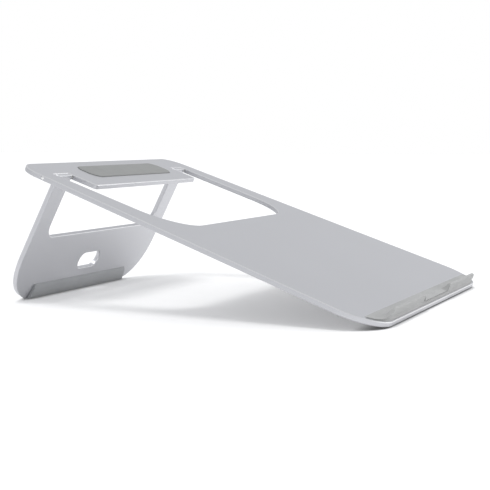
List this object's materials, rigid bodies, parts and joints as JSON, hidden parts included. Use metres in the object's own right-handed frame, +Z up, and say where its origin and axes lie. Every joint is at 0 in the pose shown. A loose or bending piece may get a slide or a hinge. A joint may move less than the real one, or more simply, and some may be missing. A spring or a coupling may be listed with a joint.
{
  "type": "laptop cooling stand",
  "caption": "Folding aluminium laptop stand with an open-window deck, a hinged U-shaped leg, a silicone front lip and silicone feet, for passive cooling.",
  "frame": {"origin": "centre of the object's box, on the table it stands on", "axes": "+X to the user's right, +Y to the rear, where the hinge is, +Z up; the front lip is at -Y"},
  "size_m": [0.2422, 0.2462, 0.0833],
  "materials": {
    "anodised_aluminium": "bead-blasted, silver anodised, with bright rounded edges",
    "grey_silicone": "matt moulded silicone",
    "dark_grey_silicone": "matt moulded silicone, darker grey",
    "pin_steel": "plain bright steel",
    "nylon": "natural nylon"
  },
  "bodies": {
    "deck": {"deck_plate": "anodised_aluminium", "tongue_pad": "grey_silicone", "front_lip": "grey_silicone", "front_foot": "dark_grey_silicone", "hinge_pin_left": "pin_steel", "hinge_pin_right": "pin_steel", "outer_washer_left": "nylon", "outer_washer_right": "nylon", "inner_washer_left": "nylon", "inner_washer_right": "nylon"},
    "leg": {"leg_plate": "anodised_aluminium", "leg_foot": "dark_grey_silicone"}
  },
  "joints": [
    {"name": "leg_fold", "type": "hinge", "parent": "deck", "child": "leg", "pos_m": [0, 0.08253, 0.07568], "axis": [-1, 0, 0], "range_deg": [0, 96.85]}
  ]
}
